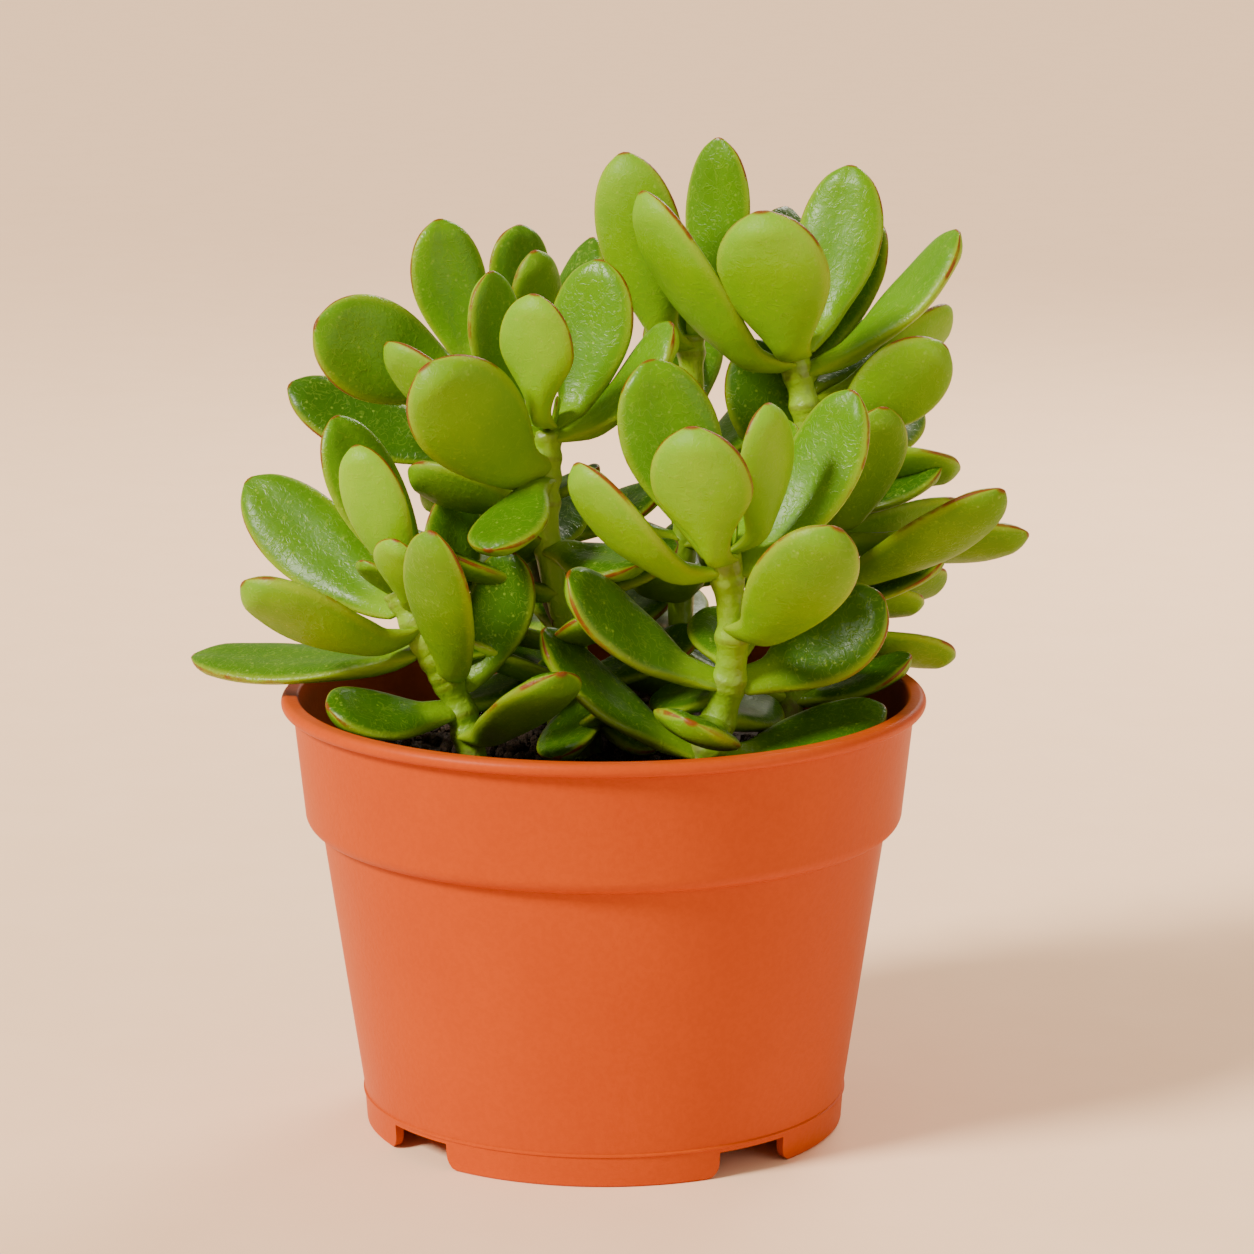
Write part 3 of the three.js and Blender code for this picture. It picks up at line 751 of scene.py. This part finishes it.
# %% Soil bed and crumbs
NECK_DROP, NECK_IN = 9, 4
BASE_RISE, BASE_IN = 1, 12
BED_DROP, BED_SIDES, BED_RINGS, BED_RING_WIDTH = 1.5, 96, 26, 2.3
HUMP, HUMP_SCALE = 1.5, 60
CLOD, CLOD_SCALE = 0.9, 260
CRUMB_COUNT, CRUMB_MARGIN = 1300, 1.5
CRUMB_SIZES = (0.7, 1.0, 1.4, 2.1)
soil_low, soil_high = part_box("potting_soil")
bed_radius = 0.5 * (soil_high.x - soil_low.x) - 0.1 * MM
bed_height = soil_high.z - BED_DROP * MM
SOIL_SIDE = ((soil_high.z - NECK_DROP * MM, bed_radius - NECK_IN * MM),
             (soil_low.z + BASE_RISE * MM, bed_radius - BASE_IN * MM))


def bed_level(x, y):
    at = Vector((x, y, 0))
    humps = HUMP * MM * noise.noise(at * HUMP_SCALE)
    return bed_height + humps + CLOD * MM * noise.noise(at * CLOD_SCALE)


def soil_bed():
    bm = bmesh.new()
    bmesh.ops.create_circle(bm, cap_ends=True, segments=BED_SIDES, radius=bed_radius)
    for _ in range(BED_RINGS):
        middle = [f for f in bm.faces if len(f.verts) > 4]
        bmesh.ops.inset_region(bm, faces=middle, thickness=BED_RING_WIDTH * MM)
    for v in bm.verts:
        v.co.z = bed_level(v.co.x, v.co.y)
    edge = [e for e in bm.edges if e.is_boundary]
    for height, radius in SOIL_SIDE:
        new = bmesh.ops.extrude_edge_only(bm, edges=edge)["geom"]
        edge = [e for e in new if isinstance(e, bmesh.types.BMEdge)]
        for v in {v for e in edge for v in e.verts}:
            v.co.xy = v.co.xy.normalized() * radius
            v.co.z = height
    bmesh.ops.contextual_create(bm, geom=edge)
    bmesh.ops.recalc_face_normals(bm, faces=bm.faces)
    return bm


def add_crumbs(bm):
    chance = random.Random(7)
    for _ in range(CRUMB_COUNT):
        angle = chance.uniform(0, 2 * math.pi)
        far = (bed_radius - CRUMB_MARGIN * MM) * math.sqrt(chance.random())
        x, y = far * math.cos(angle), far * math.sin(angle)
        size = chance.choice(CRUMB_SIZES) * MM
        place = Matrix.Translation((x, y, min(bed_level(x, y) + 0.3 * size, soil_high.z - 0.2 * size)))
        stretch = Matrix.Diagonal((1, chance.uniform(0.6, 1.1), chance.uniform(0.5, 0.9), 1))
        turn = Matrix.Rotation(chance.uniform(0, math.pi), 4, (1, chance.random(), 1))
        bmesh.ops.create_icosphere(bm, subdivisions=1, radius=size, matrix=place @ turn @ stretch)


bed = soil_bed()
add_crumbs(bed)
piece("soil_bed", bed, SOIL_CRUMB, "potting_soil")
print("soil radius mm", round(bed_radius / MM, 1))

# %% [markdown]
# ## The nursery pot
# The pot is moulded plastic: a rolled lip, a straight band, a tapering body and a foot ring with
# four notches to let water out. Its section is drawn once as a chain of points, with its round parts
# as arcs, and spun right round.

# %% Pot section
pot_low, pot_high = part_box("nursery_pot")
LIP = 0.5 * (pot_high.x - pot_low.x) / MM
TOP = pot_high.z / MM
LIP_REACH, BAND_INSET = 2.4, 4.6
LIP_DROP, BAND_HEIGHT = 2.7, 23.6
BAND_TOP_RADIUS, BAND_LOW_RADIUS = LIP - LIP_REACH, LIP - BAND_INSET
BAND_TOP, BAND_LOW = TOP - LIP_DROP, TOP - BAND_HEIGHT
STEP = 3.3
LIP_ROUND, INNER_ROUND, FOOT_EDGE = 1.35, 0.6, 0.4
RIDGE_OUT, RIDGE_HALF, RIDGE_FOOT = 0.3, 0.15, 0.35
SPIN_STEPS = 160
BODY_TOP_RADIUS, BODY_FOOT_RADIUS = BAND_LOW_RADIUS - STEP, 49.0
FOOT_TOP, FOOT_RADIUS, FLOOR, WALL = 6.5, 48.6, 6.0, 1.7


def corner(radius, height, round_by, start, end, steps):
    angles = [math.radians(start + (end - start) * k / steps) for k in range(steps + 1)]
    return [(radius + round_by * math.cos(a), height + round_by * math.sin(a)) for a in angles]


def pot_section():
    inner_foot = FOOT_RADIUS - WALL
    ridge = BODY_FOOT_RADIUS + RIDGE_OUT
    return [
        (0.0, FLOOR), (inner_foot, FLOOR), (inner_foot, FOOT_EDGE), (inner_foot + FOOT_EDGE, 0.0),
        (FOOT_RADIUS - FOOT_EDGE, 0.0), (FOOT_RADIUS, FOOT_EDGE),
        (BODY_FOOT_RADIUS, FOOT_TOP - RIDGE_FOOT), (ridge, FOOT_TOP - RIDGE_HALF),
        (ridge, FOOT_TOP + RIDGE_HALF), (BODY_FOOT_RADIUS, FOOT_TOP + RIDGE_FOOT),
        (BODY_TOP_RADIUS, BAND_LOW - STEP),
        *corner(BODY_TOP_RADIUS, BAND_LOW, STEP, -90, 0, 10), (BAND_TOP_RADIUS, BAND_TOP - 0.3),
        *corner(LIP - LIP_ROUND, TOP - LIP_ROUND, LIP_ROUND, -90, 90, 12),
        *corner(BAND_TOP_RADIUS - INNER_ROUND, TOP - INNER_ROUND, INNER_ROUND, 90, 180, 5),
        (BAND_TOP_RADIUS - WALL, BAND_TOP - 1), (BAND_LOW_RADIUS - WALL, BAND_LOW + WALL),
        (BODY_TOP_RADIUS - WALL, BAND_LOW - STEP + WALL), (BODY_FOOT_RADIUS - WALL, FLOOR + 3),
        (BODY_FOOT_RADIUS - 2 * WALL, FLOOR + WALL), (0.0, FLOOR + WALL),
    ]


def spun_pot():
    bm = bmesh.new()
    points = [bm.verts.new((radius * MM, 0, height * MM)) for radius, height in pot_section()]
    edges = [bm.edges.new(pair) for pair in zip(points, points[1:])]
    bmesh.ops.spin(bm, geom=points + edges, axis=(0, 0, 1), cent=(0, 0, 0), angle=2 * math.pi,
                   steps=SPIN_STEPS, use_merge=True)
    bmesh.ops.remove_doubles(bm, verts=bm.verts, dist=MERGE_DISTANCE)
    bmesh.ops.recalc_face_normals(bm, faces=bm.faces)
    return bm


print("pot lip mm", LIP, "top", TOP)

# %% [markdown]
# ## The finish of the pot
# Orange plastic has a satin skin with a fine leathery grain, and its colour varies faintly from thick
# to thin. Inside, the wall is painted a dark red-brown, partly as soil stain and partly as painted
# shade from the foliage above, and an attribute of the mesh marks that inside wall.

# %% Pot material
POT_ORANGE = (0.44, 0.054, 0.0004, 1)
POT_LIGHTER = (0.49, 0.066, 0.0006, 1)
POT_SPECK = (0.30, 0.028, 0.001, 1)
POT_STAIN_AND_SHADE = (0.25, 0.046, 0.003, 1)


def pot_plastic():
    material, tree, plastic = new_material("pot_plastic")
    clouds = use_group(tree, MOTTLING, Scale=28.0, Contrast=0.35)
    colour = mix(tree, clouds, POT_ORANGE, POT_LIGHTER)
    specks = use_group(tree, MOTTLING, Scale=800.0, Contrast=0.1)
    colour = mix(tree, math_node(tree, "MULTIPLY", specks, 0.12), colour, POT_SPECK)
    uneven = ramp(tree, clouds, 0.0, 1.0, 0.62, 0.8)
    # Painted shade and soil stain: the inside wall, which the inner attribute marks, is darkened to
    # red-brown in cloudy patches.
    stain_and_shade = math_node(tree, "MULTIPLY", attribute(tree, "inner"), uneven)
    colour = mix(tree, stain_and_shade, colour, POT_STAIN_AND_SHADE)
    tree.links.new(colour, plastic.inputs["Base Color"])
    tree.links.new(ramp(tree, clouds, 0.0, 1.0, 0.42, 0.50), plastic.inputs["Roughness"])
    leathery = use_group(tree, GRAIN, Scale=950.0, Wrinkle=0.6)
    tree.links.new(bump(tree, leathery, 0.16, 0.0003), plastic.inputs["Normal"])
    plastic.inputs["Specular IOR Level"].default_value = 0.14
    return material


POT_PLASTIC = pot_plastic()

# %% [markdown]
# ## Notches and drain holes
# Four notches in the foot ring and six holes in the floor let water out. A mould leaves the corners of
# each notch rounded where the foot meets the ground. So the notch's tool is a block with a wider slab
# under it, whose inward corners are bevelled, and all the tools are cut out of the shell at once. The
# slab's top lies a hair below the ground, because two faces in one plane cut badly.

# %% Cut the notches and holes
NOTCH_ANGLES = (-49, 37, 131, 217)
NOTCH_WIDTH, NOTCH_HEIGHT, NOTCH_CORNER, NOTCH_DEEP, NOTCH_SINK = 16, 5.4, 3, 12, 0.02
HOLE_COUNT, HOLE_CIRCLE, HOLE_RADIUS, HOLE_DEPTH, HOLE_SIDES = 6, 33, 4.5, 8, 40
SHARP_ANGLE = 32
# How far below the rim the painted shade and stain on the inside wall begin.
STAIN_AND_SHADE_DROP = 0.7


def pulled_out(bm, faces, way):
    new = bmesh.ops.extrude_face_region(bm, geom=faces)["geom"]
    bmesh.ops.delete(bm, geom=faces, context="FACES_ONLY")
    bmesh.ops.translate(bm, vec=way, verts=[v for v in new if isinstance(v, bmesh.types.BMVert)])
    bmesh.ops.recalc_face_normals(bm, faces=bm.faces)


def notch_tool(bm):
    bmesh.ops.create_cube(bm, size=1)
    bmesh.ops.scale(bm, vec=Vector((NOTCH_WIDTH, NOTCH_DEEP, NOTCH_DEEP)) * MM, verts=bm.verts)
    bmesh.ops.translate(bm, vec=(0, 0, -(0.5 * NOTCH_DEEP + NOTCH_SINK) * MM), verts=bm.verts)
    bm.normal_update()
    tops = [f for f in bm.faces if f.normal.z > 0.9]
    pulled_out(bm, tops, Vector((0, 0, NOTCH_HEIGHT * MM)))
    for way in (-1, 1):
        low = [f for f in bm.faces if f.normal.x * way > 0.9 and f.calc_center_median().z < 0]
        pulled_out(bm, low, Vector((way * (NOTCH_CORNER + 1) * MM, 0, 0)))
    hollow = [e for e in bm.edges if e.is_manifold and not e.is_convex and e.calc_face_angle() > 1]
    bmesh.ops.bevel(bm, geom=hollow, offset=NOTCH_CORNER * MM, segments=5, profile=0.5,
                    affect="EDGES", material=-1)


def notch_cutter(bm, degrees_round):
    tool = bmesh.new()
    notch_tool(tool)
    bmesh.ops.translate(tool, vec=(0, -FOOT_RADIUS * MM, 0), verts=tool.verts)
    turn = Matrix.Rotation(math.radians(degrees_round), 3, "Z")
    bmesh.ops.rotate(tool, cent=(0, 0, 0), matrix=turn, verts=tool.verts)
    held = bpy.data.meshes.new("notch_tool")
    tool.to_mesh(held)
    tool.free()
    bm.from_mesh(held)
    bpy.data.meshes.remove(held)


def hole_cutter(bm, k):
    angle = 2 * math.pi * k / HOLE_COUNT
    centre = Vector((HOLE_CIRCLE * math.cos(angle), HOLE_CIRCLE * math.sin(angle), FLOOR + 1)) * MM
    bmesh.ops.create_cone(bm, cap_ends=True, segments=HOLE_SIDES, radius1=HOLE_RADIUS * MM,
                          radius2=HOLE_RADIUS * MM, depth=HOLE_DEPTH * MM, matrix=Matrix.Translation(centre))


def cut_pot(pot):
    bm = bmesh.new()
    for degrees_round in NOTCH_ANGLES:
        notch_cutter(bm, degrees_round)
    for k in range(HOLE_COUNT):
        hole_cutter(bm, k)
    bmesh.ops.recalc_face_normals(bm, faces=bm.faces)
    cutter_mesh = bpy.data.meshes.new("pot_cutters")
    bm.to_mesh(cutter_mesh)
    bm.free()
    cutter = bpy.data.objects.new("pot_cutters", cutter_mesh)
    bpy.context.scene.collection.objects.link(cutter)
    cut = pot.modifiers.new("cut", "BOOLEAN")
    cut.operation, cut.object, cut.solver = "DIFFERENCE", cutter, "EXACT"
    shaped = bpy.data.meshes.new_from_object(pot.evaluated_get(bpy.context.evaluated_depsgraph_get()))
    pot.modifiers.clear()
    pot.data = shaped
    bpy.data.objects.remove(cutter)
    for polygon in pot.data.polygons:
        polygon.use_smooth = True
    pot.data.set_sharp_from_angle(angle=math.radians(SHARP_ANGLE))


def wall_middle(height):
    if height > BAND_LOW:
        share = (height - BAND_LOW) / (BAND_TOP - BAND_LOW)
        return BAND_LOW_RADIUS + share * (BAND_TOP_RADIUS - BAND_LOW_RADIUS) - WALL / 2
    share = (height - FOOT_TOP) / (BAND_LOW - STEP - FOOT_TOP)
    return BODY_FOOT_RADIUS + share * (BODY_TOP_RADIUS - BODY_FOOT_RADIUS) - WALL / 2


# Marks the inside wall, from the floor to a little below the rim, for the painted shade and stain.
def mark_inside(pot):
    inner = pot.data.attributes.new("inner", "FLOAT", "POINT")
    for vertex in pot.data.vertices:
        x, y, height = vertex.co / MM
        inside = math.hypot(x, y) < wall_middle(height) and height > FLOOR + WALL / 2
        inner.data[vertex.index].value = 1.0 if inside and height < TOP - STAIN_AND_SHADE_DROP else 0.0


pot = piece("nursery_pot_shell", spun_pot(), POT_PLASTIC, "nursery_pot")
cut_pot(pot)
mark_inside(pot)
cut_shell = bmesh.new()
cut_shell.from_mesh(pot.data)
tell_open_edges("the cut pot", cut_shell)
cut_shell.free()
print("pot faces", len(pot.data.polygons))

# %% [markdown]
# ## Floor, light and air
# A plain pale floor runs a long way back, so that no edge of it shows. A sun with a soft edge, low on
# the left, does most of the work. A broad lamp fills from the right and a smaller one behind lights the
# leaves through. The air looks as pale as the floor to the camera but gives less light than it shows.

# %% Floor, lamps and world
FLOOR_HALF = 14
FLOOR_PALE = (0.94, 0.64, 0.41, 1)
FLOOR_PALER = (0.97, 0.67, 0.44, 1)
AIR_COLOUR = (1.0, 0.80, 0.62, 1)
WORLD_LIGHT = 0.60
WORLD_SEEN = 1.7


def stage_floor():
    bm = bmesh.new()
    bmesh.ops.create_grid(bm, x_segments=2, y_segments=2, size=FLOOR_HALF)
    mesh = bpy.data.meshes.new("floor")
    bm.to_mesh(mesh)
    bm.free()
    floor = bpy.data.objects.new("floor", mesh)
    bpy.context.scene.collection.objects.link(floor)
    material, tree, cloth = new_material("floor_cloth")
    weave = use_group(tree, MOTTLING, Scale=40.0, Contrast=0.4)
    colour = mix(tree, weave, FLOOR_PALE, FLOOR_PALER)
    tree.links.new(colour, cloth.inputs["Base Color"])
    cloth.inputs["Roughness"].default_value = 0.9
    mesh.materials.append(material)


def sun(name, place, softness, strength, colour):
    data = bpy.data.lights.new(name, "SUN")
    data.angle, data.energy, data.color = math.radians(softness), strength, colour
    made = bpy.data.objects.new(name, data)
    made.location = place
    made.rotation_euler = (-Vector(place)).to_track_quat("-Z", "Y").to_euler()
    bpy.context.scene.collection.objects.link(made)


def lamp(name, place, aim, size, power, colour):
    data = bpy.data.lights.new(name, "AREA")
    data.shape, data.size, data.energy, data.color = "DISK", size, power, colour
    made = bpy.data.objects.new(name, data)
    made.location = place
    made.rotation_euler = (Vector(aim) - Vector(place)).to_track_quat("-Z", "Y").to_euler()
    bpy.context.scene.collection.objects.link(made)


def pale_world():
    world = bpy.data.worlds.new("pale_air")
    world.use_nodes = True
    tree = world.node_tree
    background = tree.nodes["Background"]
    background.inputs["Color"].default_value = AIR_COLOUR
    seen = tree.nodes.new("ShaderNodeLightPath").outputs["Is Camera Ray"]
    tree.links.new(ramp(tree, seen, 0.0, 1.0, WORLD_LIGHT, WORLD_SEEN), background.inputs["Strength"])
    bpy.context.scene.world = world


stage_floor()
pale_world()
sun("key", (-0.80, -0.50, 0.74), 15, 6.2, (1.0, 0.94, 0.84))
lamp("fill", (0.9, -0.7, 0.45), (0, 0, 0.1), 0.9, 3.5, (1.0, 0.95, 0.90))
lamp("rim", (0.35, 0.8, 0.75), (0, 0, 0.15), 0.5, 9, (1.0, 0.94, 0.84))
print("lamps", [light.name for light in bpy.data.lights])
